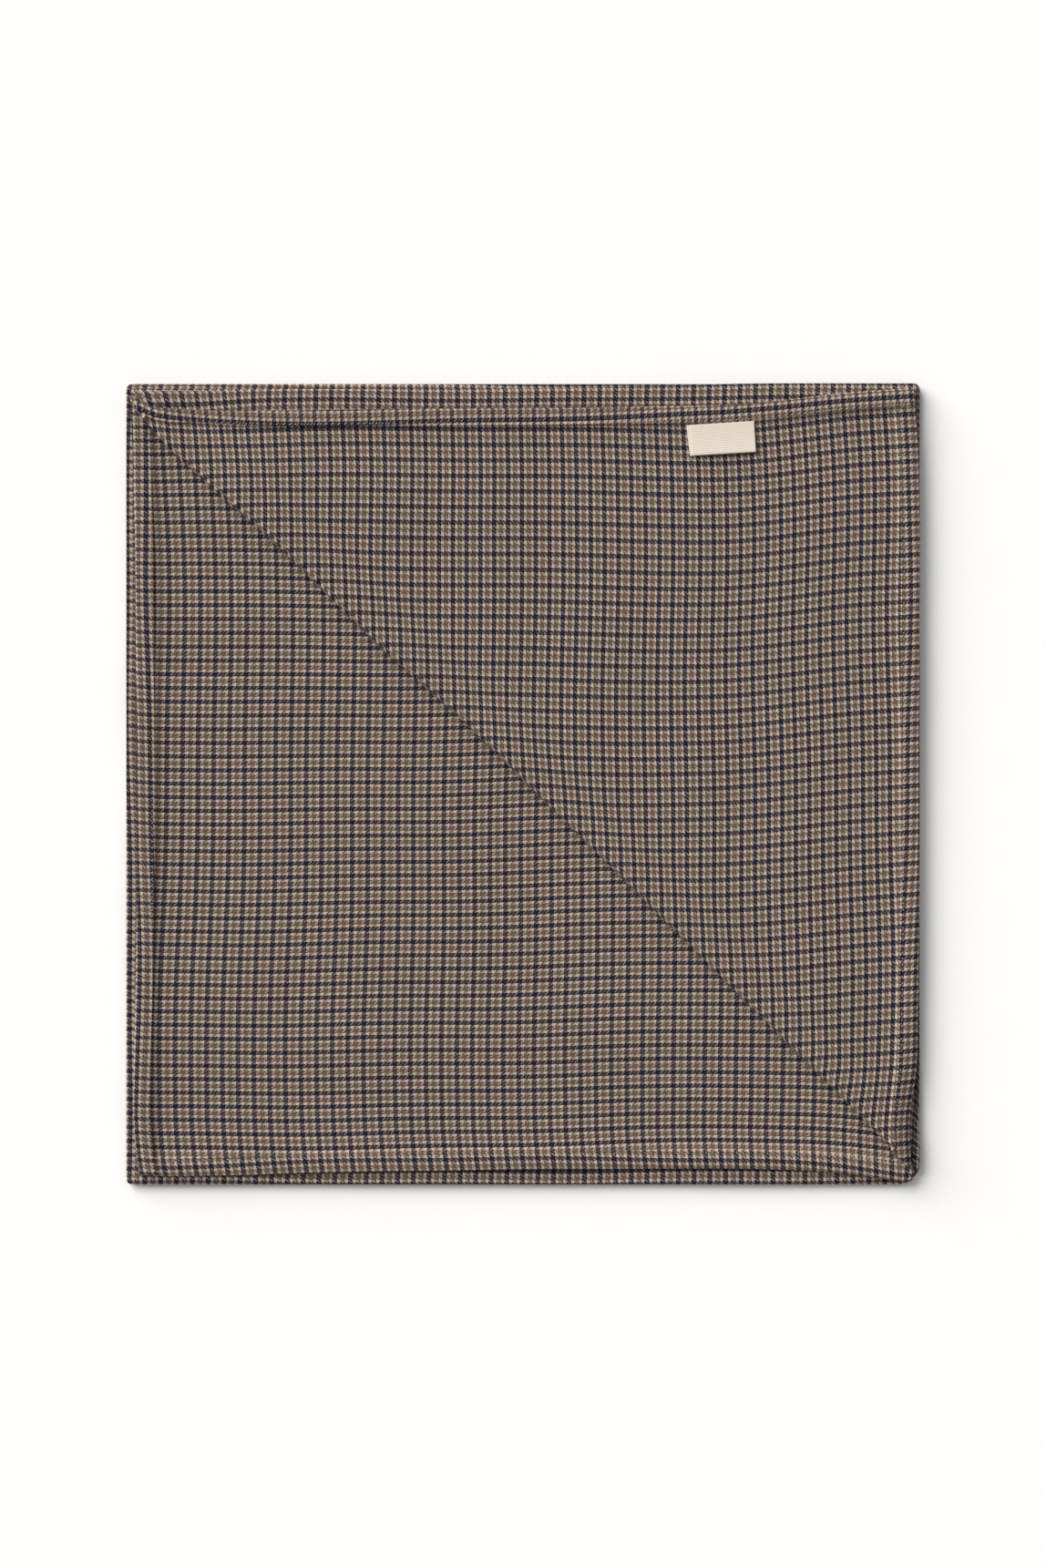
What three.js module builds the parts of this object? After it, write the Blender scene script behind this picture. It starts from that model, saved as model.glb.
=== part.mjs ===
// A square houndstooth scarf, folded in quarters, with one corner of its uppermost quarter turned back
// Millimetres, +Z up. It lies on its flat underside: +X is right and +Y is back.
//
// The cloth is followed as it was folded. Laid out flat it has four quarters:
//   A  lies at the bottom, right side down
//   B  is A's neighbour over the back crease, right side up
//   C  is B's neighbour over the right crease, wrong side up
//   D  is A's neighbour over the right crease, right side up, and its corner is turned back: the flap
import * as THREE from 'three';

// Cloth
const CLOTH = 1.0;          // one thickness
const HEM_WIDTH = 7.0;      // turned hem, along all four free edges
const HEM_FALL = 1.0;       // width over which the hem drops to one thickness
const HEM_EXTRA = 0.4;      // what the turned ply adds on the wrong side
const LAYER_GAP = 0.4;      // air between two layers

// The stack as it lies
const WIDTH = 350.6;
const DEPTH = 353.8;
const LEFT = -WIDTH / 2;
const RIGHT = WIDTH / 2;
const FRONT = -DEPTH / 2;
const BACK = DEPTH / 2;

// Radius in plan of the stack's four corners
const CORNERS = [
  { x: LEFT, y: BACK, radius: 3 },
  { x: RIGHT, y: BACK, radius: 3 },
  { x: LEFT, y: FRONT, radius: 3 },
  { x: RIGHT, y: FRONT, radius: 10 },
];
const CORNER_SOFTNESS = 0.8; // 1 would be a full arc

// Distance from a free edge over which the doubled hems lift the layers above them
const LIFT_UNDER_C = { full: 9, none: 25 };
const LIFT_UNDER_D = { full: 16, none: 32 };

// How far quarter C's edges and the upper crease lie inside the stack's outline.
// "at" runs from the free corner, 0, to the crease, 1.
const C_LEFT_EDGE = [
  { at: 0.0, inset: 6.2 },
  { at: 0.03, inset: 4.6 },
  { at: 0.08, inset: 3.4 },
  { at: 0.34, inset: 4.8 },
  { at: 0.8, inset: 4.2 },
  { at: 0.92, inset: 3.0 },
  { at: 1.0, inset: 2.0 },
];
const C_FRONT_EDGE = [
  { at: 0.0, inset: 4.4 },
  { at: 0.04, inset: 3.8 },
  { at: 0.35, inset: 5.8 },
  { at: 0.72, inset: 7.2 },
  { at: 0.84, inset: 6.6 },
  { at: 0.91, inset: 5.0 },
  { at: 1.0, inset: 0.8 },
];
const UPPER_CREASE = [
  { at: 0.0, inset: 2.4 },
  { at: 0.5, inset: 2.4 },
  { at: 0.72, inset: 0.5 },
  { at: 0.82, inset: 0.0 },
  { at: 1.0, inset: 0.0 },
];

// The flap: its tip, and the two ends of its crease
const FLAP_TIP = new THREE.Vector2(172.5, 174.5);
const CREASE_START = new THREE.Vector2(-173.2, 170.6);
const CREASE_END = new THREE.Vector2(170.2, -168.6);
// What the turning draws quarter D's free edges in by, where they meet that crease
const D_LEFT_INSET = 2.2;
const D_FRONT_INSET = 8.6;

// How far the flap's crease bows out to the front left, from its start, 0, to its end, 1
const CREASE_BOW = [
  { at: 0.0, inset: 0.0 },
  { at: 0.045, inset: 4.1 },
  { at: 0.12, inset: 3.4 },
  { at: 0.18, inset: 1.5 },
  { at: 0.34, inset: 0.9 },
  { at: 0.41, inset: -1.4 },
  { at: 0.54, inset: -1.8 },
  { at: 0.9, inset: -0.8 },
  { at: 1.0, inset: 0.0 },
];
const BOW_REACH = 12;       // the cloth on both sides of the crease follows it this far
const CREASE_MARGIN = 1.0;  // the row before the round of the crease

// The flap's crease is a soft roll. Its radius runs from the crease's start, 0, to its end, 1
const ROLL = [
  { at: 0.0, radius: 0.7 },
  { at: 0.05, radius: 1.4 },
  { at: 0.16, radius: 2.2 },
  { at: 0.9, radius: 2.35 },
  { at: 0.96, radius: 1.7 },
  { at: 1.0, radius: 0.7 },
];
const ROLL_FALL = { full: 6, none: 56 };   // behind the roll the flap comes down over this distance
const HEM_HOLD = { full: 2, none: 22 };    // and its hems hold it down this far in

// How far the flap's back hem sags to the front, from the tip, 0, to the crease, 1
const FLAP_BACK_EDGE = [
  { at: 0.0, inset: 0.0 },
  { at: 0.085, inset: 1.8 },
  { at: 0.19, inset: 5.6 },
  { at: 0.26, inset: 7.0 },
  { at: 0.7, inset: 7.1 },
  { at: 0.88, inset: 7.2 },
  { at: 0.96, inset: 5.6 },
  { at: 1.0, inset: 0.0 },
];
// How far its right hem swings out over the right crease, from the tip, 0, to the crease, 1
const FLAP_RIGHT_EDGE = [
  { at: 0.0, inset: 0.0 },
  { at: 0.1, inset: -2.2 },
  { at: 0.3, inset: -2.8 },
  { at: 0.85, inset: -2.8 },
  { at: 1.0, inset: 0.0 },
];

// The sewn label: a tape folded in half, with its two ends at the hem
const LABEL_LENGTH = 28.4;
const LABEL_DROP = 13.8;
const LABEL_PLY = 0.5;
const LABEL_GAP = 0.3;
const LABEL_BACK_SHIFT = 1.4;  // the under ply shows at the left, where the fold is askew
const LABEL_PLACE = new THREE.Vector2(87.6, 159.0); // middle of its sewn edge
const LABEL_TURN = THREE.MathUtils.degToRad(3.4);
const LABEL_BEND_STEPS = 6;

// How finely the cloth is divided
const QUARTER = 350;        // nominal side of a quarter, for the spacing of the rows
const EDGE_ROWS = [0, 2, HEM_WIDTH, HEM_WIDTH + HEM_FALL, 15, 26];
const FIELD_STEPS = 11;
const BACK_CREASE_STEPS = 5;
const RIGHT_CREASE_STEPS = 8;
const FLAP_CREASE_STEPS = 6;

const COLOURS = { cloth: 0x6f6357, label: 0xe8decd };

// Rows across one quarter, as fractions from its free edge to its crease, alike from both ends
function quarterRows() {
  const near = EDGE_ROWS.map((row) => row / QUARTER);
  const first = near[near.length - 1];
  const field = [];
  for (let k = 1; k < FIELD_STEPS; k += 1) {
    field.push(first + ((1 - 2 * first) * k) / FIELD_STEPS);
  }
  const far = near.map((row) => 1 - row).reverse();
  return [...near, ...field, ...far];
}

// A smooth reading of a table's column at t
function read(table, t, column = 'inset') {
  const last = table.length - 1;
  let k = 0;
  while (k < last - 1 && t > table[k + 1].at) {
    k += 1;
  }
  const slope = (a, b) => (table[b][column] - table[a][column]) / (table[b].at - table[a].at);
  const span = table[k + 1].at - table[k].at;
  const m0 = slope(Math.max(k - 1, 0), k + 1) * span;
  const m1 = slope(k, Math.min(k + 2, last)) * span;
  const f = THREE.MathUtils.clamp((t - table[k].at) / span, 0, 1);
  const g = f - 1;
  const rise = f * f * (3 - 2 * f);
  const plain = table[k][column] * (1 - rise) + table[k + 1][column] * rise;
  return plain + f * g * g * m0 + f * f * g * m1;
}

// 1 at an edge and 0 in the field
function fade(distance, { full, none }) {
  return 1 - THREE.MathUtils.smoothstep(distance, full, none);
}

// How much the hems lift the layers at a place in plan
function lift(x, y, range) {
  const flat = (1 - fade(x - LEFT, range)) * (1 - fade(y - FRONT, range));
  return 1 - flat;
}

// Heights of the layers' right sides at a place in plan
function heights(x, y) {
  const underC = lift(x, y, LIFT_UNDER_C);
  const underD = lift(x, y, LIFT_UNDER_D);
  const b = 2 * CLOTH + LAYER_GAP + 2 * HEM_EXTRA * underC;
  const c = b + LAYER_GAP;
  const d = 4 * CLOTH + 3 * LAYER_GAP + 4 * HEM_EXTRA * underD;
  return { b, c, d, flap: d + LAYER_GAP };
}

// What the hem adds to the cloth's thickness, from the distances to its two free edges
function hemExtra(across, along) {
  const nearest = Math.min(across, along) * QUARTER;
  return HEM_EXTRA * fade(nearest, { full: HEM_WIDTH, none: HEM_WIDTH + HEM_FALL });
}

// Where a point of a quarter lies in plan, before it goes round a crease. across and along run
// from the free edges, 0, to the creases, 1. inner is 0 in A and D and 1 in B and C, and upper
// is 0 in A and B and 1 in C and D.
function quarterPlace(across, along, inner, upper) {
  const backEdge = BACK - upper * read(UPPER_CREASE, across);
  const leftInset = THREE.MathUtils.lerp(D_LEFT_INSET, read(C_LEFT_EDGE, along), inner);
  const frontInset = THREE.MathUtils.lerp(D_FRONT_INSET, read(C_FRONT_EDGE, across), inner);
  const leftEdge = LEFT + upper * leftInset;
  const frontEdge = FRONT + upper * frontInset;
  const roughX = THREE.MathUtils.lerp(LEFT, RIGHT, across);
  const roughY = THREE.MathUtils.lerp(FRONT, BACK, along);
  const level = heights(roughX, roughY);
  return new THREE.Vector2(
    THREE.MathUtils.lerp(leftEdge, RIGHT - level.d / 2, across),
    THREE.MathUtils.lerp(frontEdge, backEdge - level.b / 2, along),
  );
}

const creaseLine = CREASE_END.clone().sub(CREASE_START);
const creaseOut = new THREE.Vector2(creaseLine.y, -creaseLine.x).normalize();
const tightRadius = (CLOTH + LAYER_GAP) / 2;

// Where a place lies against the flap's crease: how far along it, from 0 to 1, and how far from it
function againstCrease(place) {
  const fromStart = place.clone().sub(CREASE_START);
  const t = THREE.MathUtils.clamp(fromStart.dot(creaseLine) / creaseLine.lengthSq(), 0, 1);
  return { t, distance: Math.abs(fromStart.dot(creaseOut)) };
}

// The cloth near the flap's crease follows its bow
function bowed(place) {
  const { t, distance } = againstCrease(place);
  const share = fade(distance, { full: 0, none: BOW_REACH });
  return place.clone().addScaledVector(creaseOut, read(CREASE_BOW, t) * share);
}

// A point beside the flap's crease, so far behind the middle of its roll
function besideCrease(t, behind) {
  const inside = read(ROLL, t, 'radius') + CLOTH / 2 + behind;
  const line = CREASE_START.clone().lerp(CREASE_END, t);
  return bowed(line.addScaledVector(creaseOut, -inside));
}

// Where a point of quarter D that isn't turned back lies: on a straight line from beside the
// flap's crease to the back crease or the right crease
function keptPlace(across, along) {
  const start = (1 + across - along) / 2;
  const reach = Math.min(start, 1 - start);
  if (reach === 0) {
    return quarterPlace(across, along, 0, 1);
  }
  const end = quarterPlace(start + reach, 1 - start + reach, 0, 1);
  const share = (across + along - 1) / (2 * reach);
  return besideCrease(start, CREASE_MARGIN).lerp(end, share);
}

// The middle of the cloth and its right side's direction, for the quarters and both creases.
// turnBack and turnRight are the angles gone round the back crease and the right crease.
function quarterPoint(across, along, turnBack, turnRight) {
  const inner = (1 - Math.cos(turnBack)) / 2;
  const upper = (1 - Math.cos(turnRight)) / 2;
  const inD = turnBack === 0 && turnRight === Math.PI;
  const place = inD ? keptPlace(across, along) : quarterPlace(across, along, inner, upper);
  const level = heights(place.x, place.y);
  const lower = THREE.MathUtils.lerp(CLOTH / 2, level.b - CLOTH / 2, inner);
  const higher = THREE.MathUtils.lerp(level.d - CLOTH / 2, level.c + CLOTH / 2, inner);
  const rightRoll = (higher - lower) / 2;
  const backRoll = (level.b - CLOTH) / 2;
  return {
    middle: new THREE.Vector3(
      place.x + rightRoll * Math.sin(turnRight),
      place.y + backRoll * Math.sin(turnBack),
      THREE.MathUtils.lerp(lower, higher, upper),
    ),
    rightSide: new THREE.Vector3(
      Math.cos(turnBack) * Math.sin(turnRight),
      Math.sin(turnBack),
      -Math.cos(turnBack) * Math.cos(turnRight),
    ),
    extra: hemExtra(across, along),
  };
}

// A point on the round of the flap's crease. t runs along it and turn is the angle gone round.
function creasePoint(t, turn, extra) {
  const base = besideCrease(t, 0);
  const level = heights(base.x, base.y);
  const radius = read(ROLL, t, 'radius');
  const out = base.clone().addScaledVector(creaseOut, radius * Math.sin(turn));
  const z = level.d - CLOTH / 2 + radius * (1 - Math.cos(turn));
  return {
    middle: new THREE.Vector3(out.x, out.y, z),
    rightSide: new THREE.Vector3(
      -creaseOut.x * Math.sin(turn),
      -creaseOut.y * Math.sin(turn),
      Math.cos(turn),
    ),
    extra,
  };
}

// How far the roll lifts the flap at a place in plan
function rollRise(place, toHem) {
  const { t, distance } = againstCrease(place);
  const whole = 2 * (read(ROLL, t, 'radius') - tightRadius);
  return whole * fade(distance, ROLL_FALL) * (1 - fade(toHem, HEM_HOLD));
}

// A point on the flap, from the distances to its back hem and right hem, as parts of its side
function flapPoint(down, left, extra) {
  const start = besideCrease(0, 0);
  const end = besideCrease(1, 0);
  const place = FLAP_TIP.clone();
  place.addScaledVector(start.sub(FLAP_TIP), left);
  place.addScaledVector(end.sub(FLAP_TIP), down);
  const backShare = 1 - left > 0 ? 1 - down / (1 - left) : 1;
  const rightShare = 1 - down > 0 ? 1 - left / (1 - down) : 1;
  place.y -= read(FLAP_BACK_EDGE, left) * backShare;
  place.x -= read(FLAP_RIGHT_EDGE, down) * rightShare;
  const spot = bowed(place);
  const rise = rollRise(place, Math.min(down, left) * QUARTER);
  return {
    middle: new THREE.Vector3(spot.x, spot.y, heights(spot.x, spot.y).flap + CLOTH / 2 + rise),
    rightSide: new THREE.Vector3(0, 0, -1),
    extra,
  };
}

// The points of the whole sheet and the triangles of its right side
class Sheet {
  constructor() {
    this.points = [];
    this.names = new Map();
    this.faces = [];
  }

  add(name, point) {
    this.names.set(name, this.points.length);
    this.points.push(point);
  }

  triangle(...names) {
    this.faces.push(names.map((name) => this.names.get(name)));
  }

  // Four corners in turn, split from the second to the fourth
  quad(a, b, c, d) {
    this.triangle(a, b, d);
    this.triangle(b, c, d);
  }

  // Edges that only one triangle has, in the order in which that triangle runs
  freeEdges() {
    const seen = new Map();
    for (const [a, b, c] of this.faces) {
      for (const [from, to] of [[a, b], [b, c], [c, a]]) {
        const back = `${to},${from}`;
        if (seen.has(back)) {
          seen.delete(back);
        } else {
          seen.set(`${from},${to}`, [from, to]);
        }
      }
    }
    return [...seen.values()];
  }
}

// Rows of one quarter, the turn round its crease, and the rows of the next quarter
function foldedRows(rows, steps) {
  const list = rows.map((at) => ({ at, turn: 0 }));
  for (let k = 1; k < steps; k += 1) {
    list.push({ at: 1, turn: (Math.PI * k) / steps });
  }
  const beyond = rows.map((at) => ({ at, turn: Math.PI })).reverse();
  return [...list, ...beyond];
}

const gridName = (i, j) => `grid ${i} ${j}`;
const creaseName = (k, i) => `crease ${k} ${i}`;
const flapName = (i, j) => `flap ${i} ${j}`;

// Quarters A, B and C whole, and of D what isn't turned back
function addQuarters(sheet, rows) {
  const n = rows.length - 1;
  const columns = foldedRows(rows, RIGHT_CREASE_STEPS);
  const lines = foldedRows(rows, BACK_CREASE_STEPS);
  const lastColumn = columns.length - 1;
  const inD = (i, j) => i >= lastColumn - n && j <= n;
  const turnedBack = (i, j) => inD(i, j) && lastColumn - i + j < n;
  columns.forEach((column, i) => {
    lines.forEach((line, j) => {
      if (!turnedBack(i, j)) {
        sheet.add(gridName(i, j), quarterPoint(column.at, line.at, line.turn, column.turn));
      }
    });
  });
  for (let i = 0; i < lastColumn; i += 1) {
    for (let j = 0; j < lines.length - 1; j += 1) {
      const corners = [[i, j], [i, j + 1], [i + 1, j + 1], [i + 1, j]];
      const kept = corners.filter(([a, b]) => !turnedBack(a, b));
      const names = kept.map(([a, b]) => gridName(a, b));
      if (names.length === 4 && inD(i, j) && inD(i + 1, j + 1)) {
        sheet.quad(names[1], names[2], names[3], names[0]);
      } else if (names.length === 4) {
        sheet.quad(...names);
      } else if (names.length === 3) {
        sheet.triangle(...names);
      }
    }
  }
  return { n, lastColumn };
}

// The flap's crease, then the flap, whose last row is the crease's last one
function addFlap(sheet, rows, { n, lastColumn }) {
  for (let i = 0; i <= n; i += 1) {
    const extra = hemExtra(rows[i], rows[n - i]);
    sheet.names.set(creaseName(0, i), sheet.names.get(gridName(lastColumn - i, n - i)));
    for (let k = 0; k <= FLAP_CREASE_STEPS; k += 1) {
      const turn = (Math.PI * k) / FLAP_CREASE_STEPS;
      sheet.add(creaseName(k + 1, i), creasePoint(rows[i], turn, extra));
    }
    sheet.names.set(flapName(i, n - i), sheet.names.get(creaseName(FLAP_CREASE_STEPS + 1, i)));
  }
  for (let k = 0; k <= FLAP_CREASE_STEPS; k += 1) {
    for (let i = 0; i < n; i += 1) {
      sheet.quad(
        creaseName(k, i), creaseName(k + 1, i), creaseName(k + 1, i + 1), creaseName(k, i + 1),
      );
    }
  }
  for (let i = 0; i < n; i += 1) {
    for (let j = 0; i + j < n; j += 1) {
      sheet.add(flapName(i, j), flapPoint(rows[i], rows[j], hemExtra(rows[i], rows[j])));
    }
  }
  for (let i = 0; i < n; i += 1) {
    for (let j = 0; i + j < n; j += 1) {
      sheet.triangle(flapName(i, j), flapName(i + 1, j), flapName(i, j + 1));
      if (i + j < n - 1) {
        sheet.triangle(flapName(i + 1, j), flapName(i + 1, j + 1), flapName(i, j + 1));
      }
    }
  }
}

// The stack's corners are rounded in plan, through all its layers
function roundCorners(point) {
  for (const { x, y, radius } of CORNERS) {
    const sideX = Math.sign(x);
    const sideY = Math.sign(y);
    const a = 1 - (sideX * (x - point.x)) / radius;
    const b = 1 - (sideY * (y - point.y)) / radius;
    if (a > 0 && b > 0) {
      const nearA = a * Math.sqrt(1 - (CORNER_SOFTNESS * b * b) / 2);
      const nearB = b * Math.sqrt(1 - (CORNER_SOFTNESS * a * a) / 2);
      point.x = x - sideX * radius * (1 - nearA);
      point.y = y - sideY * radius * (1 - nearB);
    }
  }
  return point;
}

// One closed body from a sheet: right side, wrong side and the cut edge between them
function thickened(sheet) {
  const count = sheet.points.length;
  const positions = [];
  for (const { middle, rightSide } of sheet.points) {
    positions.push(...roundCorners(middle.clone().addScaledVector(rightSide, CLOTH / 2)));
  }
  for (const { middle, rightSide, extra } of sheet.points) {
    const back = -CLOTH / 2 - extra;
    positions.push(...roundCorners(middle.clone().addScaledVector(rightSide, back)));
  }
  const index = [];
  for (const [a, b, c] of sheet.faces) {
    index.push(a, b, c, c + count, b + count, a + count);
  }
  for (const [from, to] of sheet.freeEdges()) {
    index.push(to, from, from + count, to, from + count, to + count);
  }
  const geometry = new THREE.BufferGeometry();
  geometry.setAttribute('position', new THREE.Float32BufferAttribute(positions, 3));
  geometry.setIndex(index);
  return geometry;
}

function clothMesh() {
  const rows = quarterRows();
  const sheet = new Sheet();
  addFlap(sheet, rows, addQuarters(sheet, rows));
  const material = new THREE.MeshStandardMaterial({
    color: COLOURS.cloth, roughness: 0.95, metalness: 0,
  });
  const mesh = new THREE.Mesh(thickened(sheet), material);
  mesh.name = 'cloth';
  return mesh;
}

// The label's section: two plies joined by a round fold at the front
function labelSection() {
  const outer = LABEL_PLY + LABEL_GAP / 2;
  const inner = LABEL_GAP / 2;
  const fold = LABEL_DROP - outer;
  const section = new THREE.Shape();
  section.moveTo(0, 0);
  section.lineTo(fold, 0);
  section.absarc(fold, outer, outer, -Math.PI / 2, Math.PI / 2, false);
  section.lineTo(0, 2 * outer);
  section.lineTo(0, 2 * outer - LABEL_PLY);
  section.lineTo(fold, 2 * outer - LABEL_PLY);
  section.absarc(fold, outer, inner, Math.PI / 2, -Math.PI / 2, true);
  section.lineTo(0, LABEL_PLY);
  section.closePath();
  return section;
}

function labelMesh() {
  const geometry = new THREE.ExtrudeGeometry(labelSection(), {
    depth: LABEL_LENGTH, bevelEnabled: false, curveSegments: LABEL_BEND_STEPS,
  });
  const whole = 2 * LABEL_PLY + LABEL_GAP;
  const position = geometry.attributes.position;
  for (let k = 0; k < position.count; k += 1) {
    const drop = position.getX(k);
    const height = position.getY(k);
    const along = position.getZ(k) - LABEL_LENGTH / 2;
    const askew = LABEL_BACK_SHIFT * (1 - height / whole) * (1 - drop / (2 * LABEL_DROP));
    position.setXYZ(k, -along - askew, -drop, height);
  }
  geometry.deleteAttribute('normal');
  geometry.deleteAttribute('uv');
  const material = new THREE.MeshStandardMaterial({
    color: COLOURS.label, roughness: 0.9, metalness: 0,
  });
  const mesh = new THREE.Mesh(geometry, material);
  const under = heights(LABEL_PLACE.x, LABEL_PLACE.y);
  mesh.position.set(LABEL_PLACE.x, LABEL_PLACE.y, under.flap + CLOTH + LABEL_GAP);
  mesh.rotation.z = LABEL_TURN;
  mesh.name = 'label';
  return mesh;
}

const scarf = new THREE.Group();
scarf.add(clothMesh(), labelMesh());

export default scarf;
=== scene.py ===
# %% [markdown]
# A folded houndstooth scarf
#
# The scarf is one square of fine wool twill, hemmed along its four edges and folded in quarters. One
# corner is turned back along the diagonal, so the wrong side shows, with its hem and a small bare label.
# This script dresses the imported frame: it makes the cloth again at a finer grain, weaves its pattern in
# a material, adds the sewing, and lights the whole from the back left.

# %% Load the frame
import math

import bpy
import numpy as np
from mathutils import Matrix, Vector


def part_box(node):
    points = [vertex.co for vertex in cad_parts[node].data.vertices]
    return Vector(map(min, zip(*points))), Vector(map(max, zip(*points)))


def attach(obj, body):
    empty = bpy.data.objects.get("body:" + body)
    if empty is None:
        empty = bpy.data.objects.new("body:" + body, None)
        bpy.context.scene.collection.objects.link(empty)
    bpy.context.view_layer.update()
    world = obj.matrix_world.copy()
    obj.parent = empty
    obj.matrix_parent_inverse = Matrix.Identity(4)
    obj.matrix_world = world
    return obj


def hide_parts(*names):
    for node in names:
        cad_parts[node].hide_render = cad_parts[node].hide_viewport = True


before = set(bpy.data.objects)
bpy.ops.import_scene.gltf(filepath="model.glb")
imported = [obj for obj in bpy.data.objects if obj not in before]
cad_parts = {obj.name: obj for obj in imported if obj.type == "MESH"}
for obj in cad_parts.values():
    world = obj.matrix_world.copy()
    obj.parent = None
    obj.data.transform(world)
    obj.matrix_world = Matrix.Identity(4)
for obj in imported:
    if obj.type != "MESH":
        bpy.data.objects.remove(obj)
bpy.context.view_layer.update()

MM = 0.001
LEFT, FRONT, _ = (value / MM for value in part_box("cloth")[0])
RIGHT, BACK, TOP = (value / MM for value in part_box("cloth")[1])
print(f"the folded stack is {RIGHT - LEFT:.1f} by {BACK - FRONT:.1f} by {TOP:.1f} mm")

# %% [markdown]
# How the cloth lies
#
# Laid out flat the square has four quarters. A lies at the bottom, right side down. B is its neighbour
# over the back crease, C is B's neighbour over the right crease, and D lies on top, with its free corner
# turned back. A point of the cloth is named by its quarter and two fractions: across, from the left free
# edge to the right crease, and along, from the front free edge to the back crease.
#
# A cloth simulation could fold a flat sheet, but it would never land on the photographed outline, and
# thin layers in full contact shake. So each point is placed by a formula: the heights of the layers are
# functions of the place in plan, which keeps the layers in order everywhere. The tables further on
# hold what a ruler on the real stack would give, in millimetres.

# %% The stack in millimetres
CLOTH = 1.0
LAYER_GAP = 0.4
HEM_HIDDEN = 0.4
QUARTER = 350.0

print("four layers of", CLOTH, "mm lie", LAYER_GAP, "mm apart")


# %% Readings of the tables
def read(table, t):
    """A smooth reading of a table at t."""
    at, value = np.array(table, float).T
    t = np.asarray(t, float)
    k = np.searchsorted(at[1:-1], t)
    before = np.maximum(k - 1, 0)
    after = np.minimum(k + 2, len(at) - 1)
    span = at[k + 1] - at[k]
    slope_in = (value[k + 1] - value[before]) / (at[k + 1] - at[before]) * span
    slope_out = (value[after] - value[k]) / (at[after] - at[k]) * span
    f = np.clip((t - at[k]) / span, 0, 1)
    rise = f * f * (3 - 2 * f)
    plain = value[k] * (1 - rise) + value[k + 1] * rise
    return plain + f * (f - 1) ** 2 * slope_in + f * f * (f - 1) * slope_out


def fade(distance, reach):
    """1 at an edge and 0 in the field, with a soft fall between the two distances in reach."""
    full, none = reach
    f = np.clip((distance - full) / (none - full), 0, 1)
    return 1 - f * f * (3 - 2 * f)


def mix(a, b, share):
    """The value between a and b."""
    return a + (b - a) * share


def plan(x, y):
    """Places in plan from their two coordinates."""
    return np.stack(np.broadcast_arrays(x, y), -1)


def unit(vectors):
    """The same directions with length 1."""
    length = np.linalg.norm(vectors, axis=-1, keepdims=True)
    return vectors / np.maximum(length, 1e-9)


print("a table from 0 to 10 reads", float(read([(0, 0), (1, 10)], 0.5)), "halfway")

# %% [markdown]
# Unevenness
#
# Pressed wool never lies as flat as a board. The lower layers swell by a few tenths of a millimetre
# over a hand's width, the top layer a little more, and light from the side makes that visible. Noise
# could do it, but then the swells fall anywhere. Here a few broad waves give the general unrest, and
# each swell that the photograph shows has its own line in a table.

# %% Waves and swells
# Direction of a wave in degrees, its length in mm and its height in mm
LOW_WAVES = [(25, 74, 0.10), (98, 61, 0.08), (140, 112, 0.12)]
HIGH_WAVES = [(12, 58, 0.10), (63, 83, 0.12), (118, 47, 0.06)]

# Place of a swell in mm, its half length and half width, its direction in degrees, and its height
LOW_SWELLS = [
    (-98, 28, 30, 16, 70, 0.35),
    (-36, -22, 28, 15, 110, 0.35),
    (-120, -80, 40, 18, 20, 0.25),
    (20, -110, 36, 16, 150, 0.30),
]
FLAP_SWELLS = [
    (30, 60, 34, 16, 120, 0.45),
    (86, 20, 40, 18, 60, 0.40),
    (140, 120, 30, 16, 140, 0.50),
    (-40, 130, 44, 16, 10, 0.40),
    (120, -60, 38, 14, 95, 0.35),
]


def waves(place, table):
    """Broad waves, from 0 upward."""
    total = 0
    for turn, length, height in table:
        run = place[..., 0] * math.cos(math.radians(turn)) + place[..., 1] * math.sin(math.radians(turn))
        total = total + height * (1 + np.sin(2 * math.pi * run / length)) / 2
    return total


def swells(place, table):
    """Single soft swells."""
    total = 0
    for x, y, long, wide, turn, height in table:
        c, s = math.cos(math.radians(turn)), math.sin(math.radians(turn))
        dx, dy = place[..., 0] - x, place[..., 1] - y
        far = ((dx * c + dy * s) / long) ** 2 + ((dy * c - dx * s) / wide) ** 2
        total = total + height * np.exp(-far)
    return total


print(len(LOW_WAVES + HIGH_WAVES), "broad waves and", len(LOW_SWELLS + FLAP_SWELLS), "swells")

# %% Heights of the layers
LIFT_UNDER_C = (9, 25)
LIFT_UNDER_D = (16, 32)


def lift(place, reach):
    """How much the doubled hems lift the layers at a place in plan."""
    flat = (1 - fade(place[..., 0] - LEFT, reach)) * (1 - fade(place[..., 1] - FRONT, reach))
    return 1 - flat


def levels(place):
    """Heights of the tops of quarters B and D at a place in plan."""
    low = waves(place, LOW_WAVES) + swells(place, LOW_SWELLS)
    high = low + waves(place, HIGH_WAVES)
    b = 2 * CLOTH + LAYER_GAP + 2 * HEM_HIDDEN * lift(place, LIFT_UNDER_C) + low
    d = 4 * CLOTH + 3 * LAYER_GAP + 4 * HEM_HIDDEN * lift(place, LIFT_UNDER_D) + high
    return b, d


middle_of_stack = levels(plan(0.0, 0.0))
print("at the middle, B's top is at %.2f mm and D's at %.2f mm" % middle_of_stack)

# %% [markdown]
# Where each point goes
#
# The functions below follow the order of folding. The flap's crease comes first, because what isn't
# turned back ends at it. quarter_place lays a quarter flat in plan, kept_place does so for the part of D
# that isn't turned back, and quarter_points adds the heights and the turns round the two long creases.
# crease_points goes round the flap's own crease and flap_points lays the flap. The last three give the
# middle of the cloth's thickness and the direction of its right side, which is all that a sheet needs.

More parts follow.
